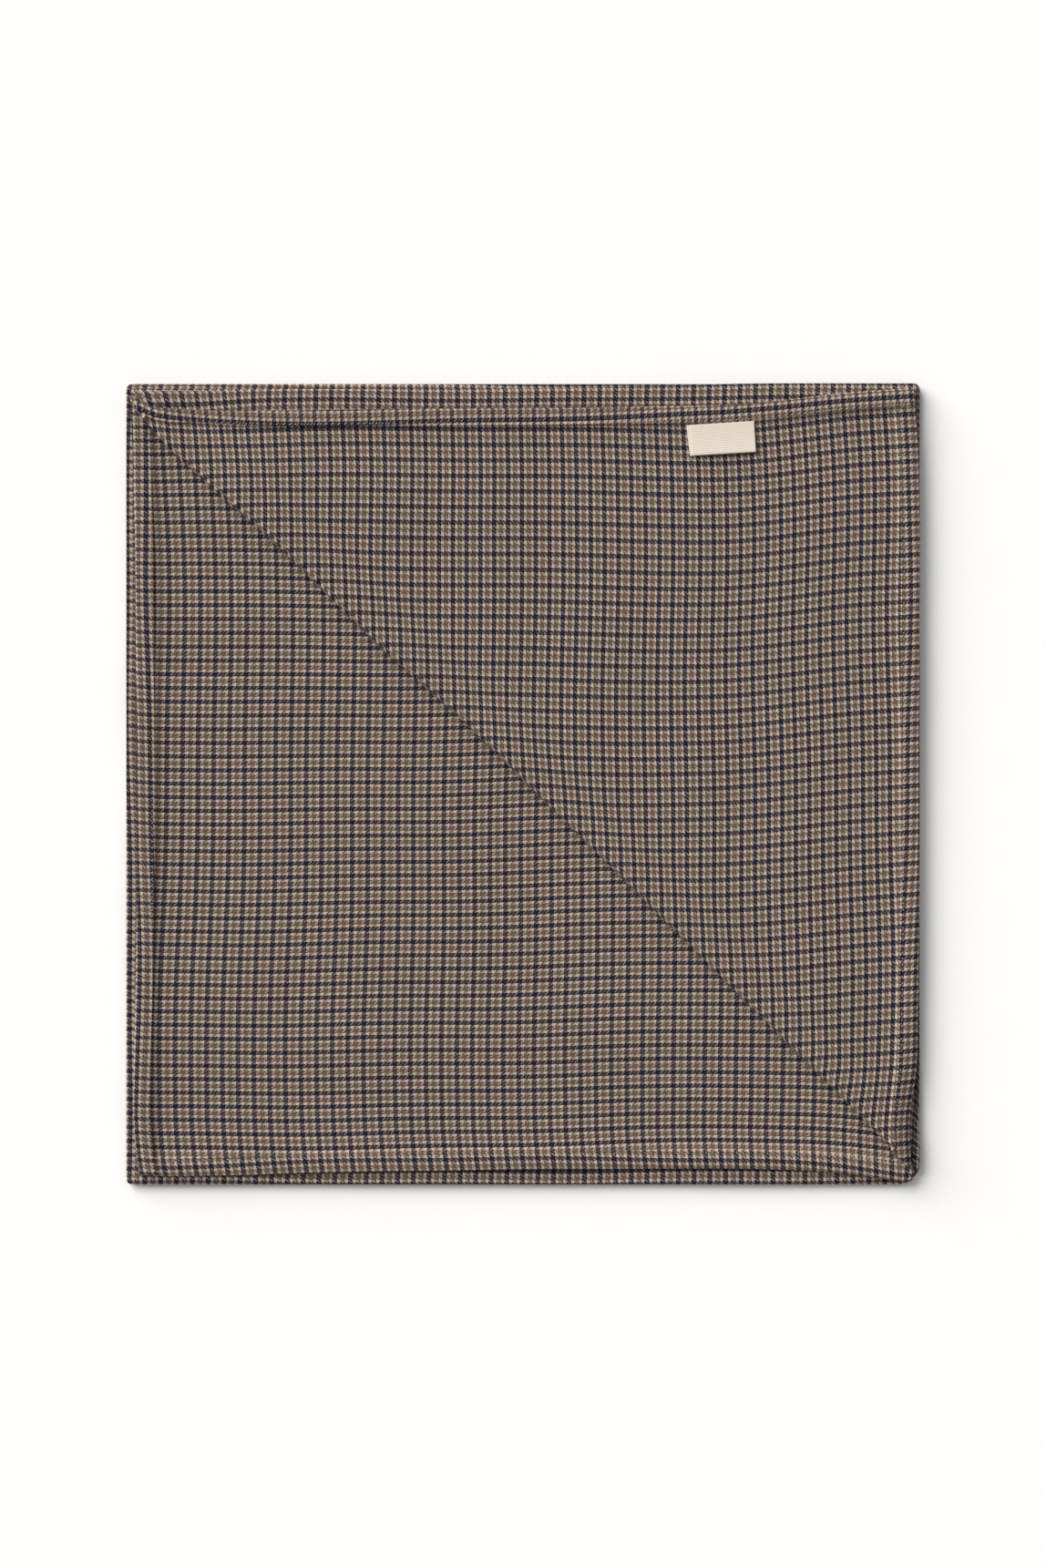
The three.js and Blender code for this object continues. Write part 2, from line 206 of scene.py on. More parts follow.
# %% The flap's crease in plan
CREASE_START = np.array([-173.2, 170.6])
CREASE_END = np.array([170.2, -168.6])

# How far the crease bows out to the front left, from its start, 0, to its end, 1
CREASE_BOW = [
    (0.0, 0.0), (0.045, 4.1), (0.12, 3.4), (0.18, 1.5), (0.34, 0.9), (0.41, -1.4), (0.54, -1.8),
    (0.9, -0.8), (1.0, 0.0),
]
BOW_REACH = (0, 12)

# The crease is a soft roll. This is its radius, to the middle of the cloth
ROLL_RADIUS = [(0.0, 0.7), (0.05, 1.4), (0.16, 2.2), (0.9, 2.35), (0.97, 2.0), (1.0, 0.7)]

crease_line = CREASE_END - CREASE_START
crease_out = unit(np.array([crease_line[1], -crease_line[0]]))


def against_crease(place):
    """How far along the flap's crease a place is, from 0 to 1, and how far behind it."""
    from_start = place - CREASE_START
    t = np.clip(from_start @ crease_line / (crease_line @ crease_line), 0, 1)
    return t, -(from_start @ crease_out)


def bow(place):
    """How far the cloth near the flap's crease is drawn out by its bow."""
    t, behind = against_crease(place)
    return read(CREASE_BOW, t) * fade(np.abs(behind), BOW_REACH)


def bowed(place):
    """A place after the bow."""
    return place + bow(place)[..., None] * crease_out


def beside_crease(t, behind):
    """A place so far behind the middle of the crease's roll."""
    t = np.asarray(t, float)[..., None]
    inside = read(ROLL_RADIUS, t) + CLOTH / 2 + behind
    return bowed(mix(CREASE_START, CREASE_END, t) - inside * crease_out)


print("the flap's crease is", round(float(np.linalg.norm(crease_line))), "mm long")

# %% The quarters in plan
# How far an edge lies inside the stack's outline, from the free edge that it starts at, 0, to 1
C_LEFT_EDGE = [(0.0, 6.2), (0.03, 4.6), (0.08, 3.4), (0.34, 4.8), (0.8, 4.2), (0.92, 3.0), (1.0, 2.0)]
C_FRONT_EDGE = [(0.0, 4.4), (0.04, 3.8), (0.35, 5.8), (0.72, 7.2), (0.84, 6.6), (0.91, 5.0), (1.0, 0.8)]
UPPER_CREASE = [(0.0, 2.4), (0.5, 2.4), (0.72, 0.5), (0.82, 0.0), (1.0, 0.0)]
D_LEFT_INSET = 2.2
D_FRONT_INSET = 8.6
CREASE_MARGIN = 1.0


def quarter_place(across, along, inner, upper):
    """A place of a quarter. inner is 1 in B and C, and upper is 1 in C and D."""
    left_edge = LEFT + upper * mix(D_LEFT_INSET, read(C_LEFT_EDGE, along), inner)
    front_edge = FRONT + upper * mix(D_FRONT_INSET, read(C_FRONT_EDGE, across), inner)
    back_edge = BACK - upper * read(UPPER_CREASE, across)
    b, d = levels(plan(mix(LEFT, RIGHT, across), mix(FRONT, BACK, along)))
    return plan(mix(left_edge, RIGHT - d / 2, across), mix(front_edge, back_edge - b / 2, along))


def kept_place(across, along):
    """A place of quarter D's kept half, on a line from the flap's crease to a long crease."""
    start = (1 + across - along) / 2
    reach = np.minimum(start, 1 - start)
    end = quarter_place(start + reach, 1 - start + reach, 0, 1)
    share = (across + along - 1) / np.maximum(2 * reach, 1e-6)
    place = mix(beside_crease(start, CREASE_MARGIN), end, share[..., None])
    return np.where(reach[..., None] < 1e-6, end, place)


print("C's free corner lies at", quarter_place(0, 0, 1, 1).round(1).tolist())


# %% [markdown]
# The hem
#
# Along its free edges the cloth is turned over onto its wrong side, about eight millimetres wide, and
# caught down with small slanted stitches just outside the turn's inner edge. That edge is a rolled lip,
# and the stitches pull a shallow groove beside it. Where two hems cross at a corner, one lies on top.
# The height of the turned ply is a section read across the hem.

# %% The hem's section
HEM_SHOWN = 0.8
HEM_INNER = 8.4
STITCH_LINE = 7.1
HEM_AT = [0.0, 1.2, 4.5, 6.3, STITCH_LINE, 7.5, 7.9, 8.2, HEM_INNER]
HEM_SECTION = [0.8, 1.0, 0.97, 0.88, 0.62, 0.84, 1.0, 0.85, 0.0]

# Where one hem crosses the other it stands up by this share more, over the width of a lip
CROSSING_RISE = 0.3
LIP = 0.8


def hem_height(across, along, shown=1.0):
    """What the turned ply adds to the wrong side."""
    side = np.interp(across * QUARTER, HEM_AT, HEM_SECTION)
    end = np.interp(along * QUARTER, HEM_AT, HEM_SECTION)
    crossing = fade(along * QUARTER, (HEM_INNER - LIP, HEM_INNER))
    return mix(HEM_HIDDEN, HEM_SHOWN, shown) * np.maximum(side * (1 + CROSSING_RISE * crossing), end)


print("a hem that shows is", HEM_INNER, "mm wide and stands up by", HEM_SHOWN, "mm")

# %% Points of the quarters
# A hem of C has its full height up to the flap's crease, and is flatter under the flap
SHOWN_TO = (-6.0, -1.5)


def quarter_points(across, along, turn_back, turn_right):
    """Middle, right side's direction and hem of the quarters and both long creases."""
    inner = (1 - np.cos(turn_back)) / 2
    upper = (1 - np.cos(turn_right)) / 2
    in_d = (turn_back == 0) & (turn_right == math.pi)
    laid = quarter_place(across, along, inner, upper)
    place = np.where(in_d[..., None], kept_place(across, along), laid)
    b, d = levels(place)
    lower = mix(CLOTH / 2, b - CLOTH / 2, inner)
    higher = mix(d - CLOTH / 2, b + LAYER_GAP + CLOTH / 2, inner)
    middle = np.stack([
        place[..., 0] + (higher - lower) / 2 * np.sin(turn_right),
        place[..., 1] + (b - CLOTH) / 2 * np.sin(turn_back),
        mix(lower, higher, upper),
    ], -1)
    right_side = np.stack([
        np.cos(turn_back) * np.sin(turn_right),
        np.sin(turn_back) + 0 * turn_right,
        -np.cos(turn_back) * np.cos(turn_right),
    ], -1)
    shown = inner * upper * fade(against_crease(place)[1], SHOWN_TO)
    return middle, right_side, hem_height(across, along, shown)


third, turned_over = np.array(1 / 3), np.array(math.pi)
point_of_c, _, _ = quarter_points(third, third, turned_over, turned_over)
print("a third of the way in, C lies at", point_of_c.round(1).tolist())

# %% The flap and its crease
FLAP_TIP = np.array([172.5, 174.5])

# How far the back hem sags and the right hem is drawn in, from the tip, 0, to the crease, 1
FLAP_BACK_EDGE = [
    (0.0, 0.0), (0.085, 1.8), (0.19, 5.6), (0.26, 7.0), (0.7, 7.1), (0.88, 7.2), (0.96, 5.6), (1.0, 0.0),
]
FLAP_RIGHT_EDGE = [(0.0, 0.0), (0.1, -2.2), (0.3, -2.8), (0.86, -2.6), (0.955, 1.2), (1.0, 0.0)]

# Behind the roll the flap comes down, and its hems hold it down
ROLL_FALL = (6, 56)
ROLL_INSET = (2, 26)
HEM_HOLD = (2, 22)
TUCKED_FROM = (0.80, 0.93)
TUCKED_HOLD = 0.4


def held(t, to_hem):
    """How far the hems hold the flap down, from 0 to 1. Where it is tucked in, it comes down steeply."""
    steep = mix(TUCKED_HOLD, 1, fade(t, TUCKED_FROM))
    return fade(to_hem / steep, HEM_HOLD)


def flap_rise(place, to_hem):
    """How far the flap stands off D: the roll's fall, and its own swells."""
    t, behind = against_crease(place)
    roll = 2 * (read(ROLL_RADIUS, t) - (CLOTH + LAYER_GAP) / 2) * fade(np.abs(behind), ROLL_FALL)
    return (roll + swells(place, FLAP_SWELLS)) * (1 - held(t, to_hem))


def crease_points(t, turn, to_hem):
    """The round of the flap's crease. turn is the angle gone round."""
    base = beside_crease(t, 0)
    _, d = levels(base)
    radius = read(ROLL_RADIUS, t)
    out = base + (radius * np.sin(turn))[..., None] * crease_out
    swell = swells(base, FLAP_SWELLS) * (1 - held(t, to_hem)) * (1 - np.cos(turn)) / 2
    z = d - CLOTH / 2 + radius * (1 - np.cos(turn)) + swell
    middle = np.concatenate([out, z[..., None]], -1)
    sideways = -np.sin(turn)[..., None] * crease_out
    return middle, np.concatenate([sideways, np.cos(turn)[..., None]], -1)


def near_hems(down, left):
    """How far a place of the flap is from its crease, as a share: towards the back and right hems."""
    back_share = 1 - down / np.maximum(1 - left, 1e-6)
    right_share = 1 - left / np.maximum(1 - down, 1e-6)
    return np.where(left < 1, back_share, 1), np.where(down < 1, right_share, 1)


def flap_plan(down, left):
    """A place of the flap in plan, before the bow."""
    start, end = beside_crease(0.0, 0), beside_crease(1.0, 0)
    place = FLAP_TIP + left[..., None] * (start - FLAP_TIP) + down[..., None] * (end - FLAP_TIP)
    to_back, to_right = near_hems(down, left)
    place = place - plan(read(FLAP_RIGHT_EDGE, down) * to_right, read(FLAP_BACK_EDGE, left) * to_back)
    t, behind = against_crease(place)
    inset = (read(ROLL_RADIUS, t) - ROLL_RADIUS[0][1]) * fade(behind, ROLL_INSET)
    return place - inset[..., None] * crease_out


def flap_points(down, left):
    """The flap, from the distances to its back hem and right hem as parts of its side."""
    place = flap_plan(down, left)
    spot = bowed(place)
    _, d = levels(spot)
    rise = flap_rise(place, np.minimum(down, left) * QUARTER)
    z = d + LAYER_GAP + CLOTH / 2 + rise
    middle = np.concatenate([spot, z[..., None]], -1)
    right_side = np.broadcast_to([0.0, 0.0, -1.0], middle.shape)
    return middle, right_side, hem_height(down, left)


tip, _, _ = flap_points(np.array(0.0), np.array(0.0))
print("the flap's tip lies at", tip.round(1).tolist())

# %% [markdown]
# Rows of the cloth
#
# The cloth's rows are close together at its hems and about six millimetres apart in the field. A
# subdivision surface could refine a coarse cage, but it would pull in the outline, so the rows are as
# fine as the hem's section needs. They are alike from both ends, so they also meet along the diagonal.

# %% Rows and the whole grid
FIELD_STEP = 6
RIGHT_CREASE_STEPS = 10
BACK_CREASE_STEPS = 8
ROLL_STEPS = 12
EDGE_ROWS = HEM_AT + [12, 18, 26]


def quarter_rows():
    """Rows across a quarter, as fractions from its free edge to its crease."""
    near = np.array(EDGE_ROWS) / QUARTER
    steps = round((1 - 2 * near[-1]) * QUARTER / FIELD_STEP)
    field = np.linspace(near[-1], 1 - near[-1], steps + 1)[1:-1]
    return np.concatenate([near, field, 1 - near[::-1]])


def folded_rows(rows, steps):
    """Rows of one quarter, the turn round its crease, and the rows of the next quarter."""
    turning = math.pi * np.arange(1, steps) / steps
    at = np.concatenate([rows, np.ones(steps - 1), rows[::-1]])
    turn = np.concatenate([0 * rows, turning, 0 * rows + math.pi])
    return at, turn


rows = quarter_rows()
n = len(rows) - 1
across, turn_right = folded_rows(rows, RIGHT_CREASE_STEPS)
along, turn_back = folded_rows(rows, BACK_CREASE_STEPS)
across, along = np.meshgrid(across, along, indexing="ij")
turn_right, turn_back = np.meshgrid(turn_right, turn_back, indexing="ij")
last_column = across.shape[0] - 1
print("a quarter has", n, "rows each way")

# %% [markdown]
# Thread by thread
#
# The pattern is woven, so it follows the cloth and not the picture. Each point also gets its place on
# the flat square, u along the cross threads and v along the others, in millimetres. The creases use up
# a little cloth, and that is counted too. The weave of this scarf isn't quite straight, so u and v
# waver by a millimetre or two.

# %% Place on the flat square
REPEAT_U = 7.0
REPEAT_V = 6.07
FIRST_THREAD_V = 1.2
RIGHT_CREASE_CLOTH = 7.0
BACK_CREASE_CLOTH = 4.2
FLAP_CREASE_U = 4.7
FLAP_CREASE_V = 7.3
HEM_TURN_U = 1.2
HEM_TURN_V = 1.6

# Height of a waver in mm, the mm of u and of v that turn it by a radian, and its start
WAVERS_U = [(1.3, math.inf, 61, 0.6), (0.6, 47, 83, 0.0), (0.35, 71, 19, 0.0)]
WAVERS_V = [(1.2, 68, math.inf, 2.1), (0.6, -90, 43, 0.0), (0.3, 17, 59, 0.0)]


def flat_place(across, along, turn_right, turn_back):
    """u and v of a point, and on which side of it each free edge lies."""
    over_right, over_back = turn_right > 0, turn_back > 0
    far_u = QUARTER * (2 - across) + RIGHT_CREASE_CLOTH * turn_right / math.pi
    far_v = QUARTER * (2 - along) + BACK_CREASE_CLOTH * turn_back / math.pi
    u = np.where(over_right, far_u, QUARTER * across)
    v = np.where(over_back, far_v, QUARTER * along) + FIRST_THREAD_V
    return u, v, np.where(over_right, 1, -1), np.where(over_back, 1, -1)


def waver(u, v, table):
    """How crooked the weave is there."""
    return sum(height * np.sin(u / by_u + v / by_v + start) for height, by_u, by_v, start in table)


print("a repeat of the check is", REPEAT_U, "by", REPEAT_V, "mm")

# %% All the points of the sheet
grid = quarter_points(across, along, turn_back, turn_right)
grid_u, grid_v, grid_sign_u, grid_sign_v = flat_place(across, along, turn_right, turn_back)

roll_turn, crease_t = np.meshgrid(math.pi * np.arange(ROLL_STEPS + 1) / ROLL_STEPS, rows, indexing="ij")
crease_hem = hem_height(crease_t, 1 - crease_t)
to_hem = np.minimum(crease_t, 1 - crease_t) * QUARTER
crease = (*crease_points(crease_t, roll_turn, to_hem), crease_hem)

down, left = np.meshgrid(rows, rows, indexing="ij")
beyond = down + left > 1 + 1e-9
down, left = np.where(beyond, 0.5, down), np.where(beyond, 0.5, left)
flap = flap_points(down, left)

crease_u = QUARTER * (2 - crease_t) + RIGHT_CREASE_CLOTH
crease_v = QUARTER * (1 - crease_t) + FIRST_THREAD_V
flap_u = QUARTER * (2 - down) + RIGHT_CREASE_CLOTH
flap_v = QUARTER * left + FIRST_THREAD_V
print("the crease has", crease_t.size, "points and the flap", int((~beyond).sum()))

# %% Cloth that the folds draw along
DRAWN_REACH = (0, 40)
CREASE_CLOTH_AT_START = 0.1


def drawn_along(down, left, gone_round, bow_share, sag_share):
    """How far the crease, its bow and the sag of the hems draw the cloth along, in u and v."""
    to_back, to_right = near_hems(down, left)
    out = bow(flap_plan(down, left)) * bow_share
    sag = read(FLAP_BACK_EDGE, left) * (1 - to_back) * sag_share
    swing = read(FLAP_RIGHT_EDGE, down) * (1 - to_right) * sag_share
    drawn_u = FLAP_CREASE_U * gone_round + out * crease_out[1] + sag
    return drawn_u, -FLAP_CREASE_V * gone_round - out * crease_out[0] - swing


round_crease = CREASE_CLOTH_AT_START + (1 - CREASE_CLOTH_AT_START) * roll_turn / math.pi
kept_t, kept_behind = against_crease(grid[0][..., :2])
kept = (turn_back == 0) & (turn_right == math.pi)
drawn_parts = [
    drawn_along(kept_t, 1 - kept_t, 0, 0, kept * fade(kept_behind, DRAWN_REACH)),
    drawn_along(crease_t, 1 - crease_t, round_crease, (1 - np.cos(roll_turn)) / 2, 1),
    drawn_along(down, left, 1, 1, 1),
]


def joined(parts):
    """One long array from the grid's, the crease's and the flap's."""
    return np.concatenate([part.reshape(-1, *part.shape[2:]) for part in parts])


middles, right_sides, hems = (joined(parts) for parts in zip(grid, crease, flap))
drawn_u, drawn_v = (joined(parts) for parts in zip(*drawn_parts))
straight_u = joined([grid_u, crease_u, flap_u]) + drawn_u
straight_v = joined([grid_v, crease_v, flap_v]) + drawn_v
sign_u = joined([grid_sign_u, np.ones_like(crease_u), np.ones_like(flap_u)])
sign_v = joined([grid_sign_v, -np.ones_like(crease_v), -np.ones_like(flap_v)])
to_side = joined([across, crease_t, down]) * QUARTER
to_front = joined([along, 1 - crease_t, left]) * QUARTER
cloth_u = straight_u + waver(straight_u, straight_v, WAVERS_U)
cloth_v = straight_v + waver(straight_u, straight_v, WAVERS_V)
print("the sheet has", len(middles), "points, used or not")

# %% [markdown]
# Faces of the sheet
#
# Points are numbered by where they come from, so the faces are a few sums on those numbers. The corner
# of D that is turned back has no faces in the grid: the crease's round takes over there, then the flap.

# %% Faces
grid_id = np.arange(across.size).reshape(across.shape)
crease_id = across.size + np.arange(crease_t.size).reshape(crease_t.shape)
flap_id = across.size + crease_t.size + np.arange(down.size).reshape(down.shape)

step = np.arange(n + 1)
crease_id = np.vstack([grid_id[last_column - step, n - step], crease_id])
flap_id[step, n - step] = crease_id[-1]


def quads(ids):
    """The four corners of every cell of a grid of numbers."""
    return np.stack([ids[:-1, :-1], ids[:-1, 1:], ids[1:, 1:], ids[1:, :-1]], -1)


column, line = np.indices((last_column, grid_id.shape[1] - 1))
steps_in = last_column - column + line
in_d = (column >= last_column - n) & (line < n)
whole_cells = quads(grid_id)[~in_d | (steps_in > n)]
half_cells = quads(grid_id)[in_d & (steps_in == n)]
first, second = np.indices((n, n))
flap_cells = quads(flap_id)[first + second < n - 1]
flap_halves = quads(flap_id)[first + second == n - 1]

four_sided = np.concatenate([
    whole_cells, quads(crease_id).reshape(-1, 4)[:, ::-1], flap_cells[:, ::-1],
])
three_sided = np.concatenate([half_cells[:, :3], flap_halves[:, [0, 3, 1]]])
print("right side:", len(four_sided), "four-sided and", len(three_sided), "three-sided faces")

# %% [markdown]
# From a sheet to a closed body
#
# Blender's Solidify modifier could thicken the sheet, but the hems need their own height on one side
# only, and a turned hem has a round outer edge. So each point gets a partner on the wrong side, and the
# free edges get a rounded bead between the two.

# %% Free edges of a sheet
def free_edges(four, three):
    """Edges that only one face has, in the order in which that face runs."""
    pairs = [np.stack([cells, np.roll(cells, -1, 1)], -1).reshape(-1, 2) for cells in (four, three)]
    edges = [tuple(edge) for edge in np.concatenate(pairs).tolist()]
    known = set(edges)
    return np.array([edge for edge in edges if edge[::-1] not in known])


def away_from_sheet(middles, normals, edges):
    """The direction outward at the free edges, and 0 elsewhere."""
    along_edge = unit(middles[edges[:, 1]] - middles[edges[:, 0]])
    outward = np.zeros_like(middles)
    for end in edges.T:
        np.add.at(outward, end, np.cross(along_edge, normals[end]))
    return unit(outward)


print("the cloth has", len(free_edges(four_sided, three_sided)), "free edges")

# %% A closed body with rounded free edges
BEAD_STEPS = 5


def bead_strips(edges, count):
    """The strips of faces round the free edges, for layers of so many points."""
    ring = [0, *range(2, BEAD_STEPS + 1), 1]
    start, end = edges.T
    strips = []
    for k in range(BEAD_STEPS):
        here, there = ring[k] * count, ring[k + 1] * count
        strips.append(np.stack([end + here, start + here, start + there, end + there], -1))
    return strips


def closed_body(middles, normals, above, below, four, three, draw_in):
    """Points and faces of a body that is so thick above and below the sheet's middle."""
    count = len(middles)
    edges = free_edges(four, three)
    outward = away_from_sheet(middles, normals, edges)
    middles = middles - draw_in * outward
    centre = middles + normals * ((above - below) / 2)[:, None]
    half = ((above + below) / 2)[:, None]
    layers = []
    for k in range(BEAD_STEPS + 1):
        angle = math.pi * k / BEAD_STEPS
        layers.append(centre + normals * half * math.cos(angle) + outward * draw_in * math.sin(angle))
    layers = [layers[0], layers[-1], *layers[1:-1]]
    faces = [four, three, four[:, ::-1] + count, three[:, ::-1] + count, *bead_strips(edges, count)]
    return np.concatenate(layers), faces, edges


print("each free edge gets a bead of", BEAD_STEPS, "strips")

# %% Corners of the stack
# Place of a corner and its radius in plan
CORNERS = [(LEFT, BACK, 3), (RIGHT, BACK, 3), (LEFT, FRONT, 3), (RIGHT, FRONT, 10)]
CORNER_SOFTNESS = 0.8


def round_corners(points):
    """The stack's corners are rounded in plan, through all its layers."""
    points = points.copy()
    for x, y, radius in CORNERS:
        side = np.sign([x, y])
        inside = 1 - side * ([x, y] - points[:, :2]) / radius
        near = (inside > 0).all(1)
        a, b = inside[near].T
        pulled = np.stack([
            a * np.sqrt(1 - CORNER_SOFTNESS * b * b / 2),
            b * np.sqrt(1 - CORNER_SOFTNESS * a * a / 2),
        ], -1)
        points[near, :2] = [x, y] - side * radius * (1 - pulled)
    return points


print("the front right corner is rounded to", CORNERS[-1][2], "mm")

# %% [markdown]
# The map that carries the weave
#
# One unit of the map is eight repeats of the pattern. On the wrong side it reads u first. The right
# side of a twill is the same weave seen from behind, so there v comes first and the diagonals lean the
# other way. A hem shows the right side again, and its threads are counted on from the free edge.

# %% The map of the weave
REPEATS_PER_UNIT = 8

# Distances within this count as the same
SLACK = 0.01


def map_place(u, v, right_side):
    """The map's place of a point of the flat square."""
    by_u = u / (REPEATS_PER_UNIT * REPEAT_U)
    by_v = v / (REPEATS_PER_UNIT * REPEAT_V)
    return np.stack([by_v, by_u] if right_side else [by_u, by_v], -1)


def in_hem(to_edge, cells):
    """Whether all corners of a face lie in the hem along a free edge."""
    return (to_edge[cells] < HEM_INNER + SLACK).all(1)[:, None, None]


def wrong_side_map(cells):
    """The map on the wrong side, with its hems."""
    u, v = cloth_u[cells], cloth_v[cells]
    hem_u = u - 2 * drawn_u[cells] + sign_u[cells] * (2 * to_side[cells] + HEM_TURN_U)
    hem_v = v - 2 * drawn_v[cells] + sign_v[cells] * (2 * to_front[cells] + HEM_TURN_V)
    plain = map_place(u, v, False)
    with_front = np.where(in_hem(to_front, cells), map_place(u, hem_v, True), plain)
    return np.where(in_hem(to_side, cells), map_place(hem_u, v, True), with_front)


def bead_map(edges, k):
    """The map on one strip of the free edges' bead."""
    start, end = edges.T
    cells = np.stack([end, start, start, end], -1)
    gone = np.array([k, k, k + 1, k + 1]) / BEAD_STEPS
    on_side = (to_side[cells] < SLACK).all(1)[:, None]
    u = cloth_u[cells] + np.where(on_side, sign_u[cells] * gone * HEM_TURN_U, 0)
    v = cloth_v[cells] + np.where(on_side, 0, sign_v[cells] * gone * HEM_TURN_V)
    return map_place(u, v, True)


print("a unit of the map is", REPEATS_PER_UNIT * REPEAT_U, "by", REPEATS_PER_UNIT * REPEAT_V, "mm")

# %% The cloth
EDGE_DRAW_IN = 0.45


def put(name, data):
    """A new object in the scene."""
    made = bpy.data.objects.new(name, data)
    bpy.context.scene.collection.objects.link(made)
    return made


def make_piece(name, points, faces, uvs):
    """A smooth object from points in mm, lists of faces, and the map's place of every face corner."""
    used = np.unique(np.concatenate([cells.ravel() for cells in faces]))
    renumber = np.zeros(len(points), int)
    renumber[used] = np.arange(len(used))
    corners = [face for cells in faces for face in renumber[cells].tolist()]
    mesh = bpy.data.meshes.new(name)
    mesh.from_pydata((points[used] * MM).tolist(), [], corners)
    layer = mesh.uv_layers.new(name="OFBake")
    layer.data.foreach_set("uv", np.concatenate([uv.reshape(-1, 2) for uv in uvs]).ravel())
    mesh.polygons.foreach_set("use_smooth", [True] * len(mesh.polygons))
    mesh.update()
    print(name, "has", len(mesh.vertices), "points and", len(mesh.polygons), "faces")
    return put(name, mesh)


above = np.full(len(middles), CLOTH / 2)
points, faces, edges = closed_body(
    middles, right_sides, above, CLOTH / 2 + hems, four_sided, three_sided, EDGE_DRAW_IN
)
uvs = [map_place(cloth_u[cells], cloth_v[cells], True) for cells in (four_sided, three_sided)]
uvs += [wrong_side_map(cells) for cells in (four_sided[:, ::-1], three_sided[:, ::-1])]
uvs += [bead_map(edges, k) for k in range(BEAD_STEPS)]
cloth = make_piece("folded_cloth", round_corners(points), faces, uvs)

# %% [markdown]
# The label
#
# A piece of ribbed tape is folded in half and its two ends are caught at the flap's back hem. The fold
# is a little askew, so the under ply shows at the left, and the free end stands up slightly. It is a
# strip with a round fold, laid on the flap's own surface, so it follows each swell there. It is bare.

# %% The label's strip
LABEL_DROP = 13.8
LABEL_PLY = 0.36
LABEL_ROWS = 18
FOLD_STEPS = 8

# The under ply starts so far above the flap, and rises by so much towards the fold, faster and faster
LABEL_CLEAR = 0.1
LABEL_RISE = 0.8
LABEL_CURL = 1.8

# The air between the plies at their sewn ends, and what the fold adds
PLIES_APART = 0.06
FOLD_APART = 0.3


def label_section():
    """Rows down the upper ply, round the fold and back up the under ply."""
    drop = np.linspace(0, LABEL_DROP, LABEL_ROWS)
    lifted = LABEL_CLEAR + LABEL_PLY / 2 + LABEL_RISE * (drop / LABEL_DROP) ** LABEL_CURL
    apart = LABEL_PLY + PLIES_APART + FOLD_APART * drop / LABEL_DROP
    radius = apart[-1] / 2
    angle = math.pi * np.arange(1, FOLD_STEPS) / FOLD_STEPS
    drop = drop * (LABEL_DROP - radius - LABEL_PLY / 2) / LABEL_DROP
    rounds = drop[-1] + radius * np.sin(angle)
    heights = lifted[-1] + radius + radius * np.cos(angle)
    at = np.concatenate([drop, rounds, drop[::-1]])
    height = np.concatenate([lifted + apart, heights, lifted[::-1]])
    slope = np.gradient(height[:LABEL_ROWS], at[:LABEL_ROWS])
    tilt = np.arctan(slope)
    turned = np.concatenate([-tilt, angle, math.pi - tilt[::-1]])
    return at, height, np.sin(turned), np.cos(turned)


at, height, front_share, up_share = label_section()
gone = np.concatenate([[0], np.cumsum(np.hypot(np.diff(at), np.diff(height)))])
print("the strip is", round(float(gone[-1]), 1), "mm long from end to end")

# %% The label on the flap
LABEL_LENGTH = 28.4
LABEL_BACK_SHIFT = 1.4
LABEL_PLACE = np.array([87.6, 159.0])
LABEL_TURN = math.radians(3.4)
LABEL_COLUMNS = 36


def flap_top(place, to_hem):
    """Height of the flap's upper surface at a place in plan."""
    _, d = levels(place)
    return d + LAYER_GAP + CLOTH + flap_rise(place, to_hem)


run = np.linspace(-0.5, 0.5, LABEL_COLUMNS) * LABEL_LENGTH
run, at = np.meshgrid(run, at, indexing="ij")
under = np.clip((np.arange(at.shape[1]) - LABEL_ROWS) / FOLD_STEPS, 0, 1)
askew = LABEL_BACK_SHIFT * under * (1 - at / (2 * LABEL_DROP))
x, y = run - askew, -at
c, s = math.cos(LABEL_TURN), math.sin(LABEL_TURN)
spot = plan(x * c - y * s, x * s + y * c) + LABEL_PLACE
z = flap_top(spot, HEM_INNER + at) + height
label_middles = np.concatenate([spot, z[..., None]], -1).reshape(-1, 3)
front = np.array([math.sin(LABEL_TURN), -math.cos(LABEL_TURN), 0])
label_normals = front_share[:, None] * front + up_share[:, None] * np.array([0, 0, 1])
label_normals = np.tile(label_normals, (LABEL_COLUMNS, 1))
label_cells = quads(np.arange(at.size).reshape(at.shape)).reshape(-1, 4)
print("the label stands up to", round(float(z.max()), 2), "mm above the table")

# %% The label's body
strip_u = (run / LABEL_LENGTH + 0.5).ravel()
strip_v = np.broadcast_to(gone / gone[-1], at.shape).ravel()
half_ply = np.full(len(label_middles), LABEL_PLY / 2)
no_cells = np.zeros((0, 3), int)
label_points, label_faces, _ = closed_body(
    label_middles, label_normals, half_ply, half_ply, label_cells, no_cells, LABEL_PLY / 2
)
strip = np.stack([strip_u, strip_v], -1)
label_uvs = [strip[cells % len(strip)] for cells in label_faces]
label = make_piece("label_tape", label_points, label_faces, label_uvs)

# %% [markdown]
# The hems' stitches
#
# The hems are caught down by hand or by a blind stitcher: every three millimetres a short slanted
# stitch of light thread shows on the lip. Each is a small body of its own, placed on the hem's surface
# by the same functions as the cloth.

# %% Stitch places
STITCH_PITCH = 2.77
STITCH_ACROSS = 0.62
STITCH_ALONG = 0.95

# Where the row of stitches starts: near the corner, or clear of the hem that crosses over its own
FIRST_STITCH = 2.5
FIRST_BESIDE_HEM = 10.5
CLEAR_OF_CREASE = 3.0


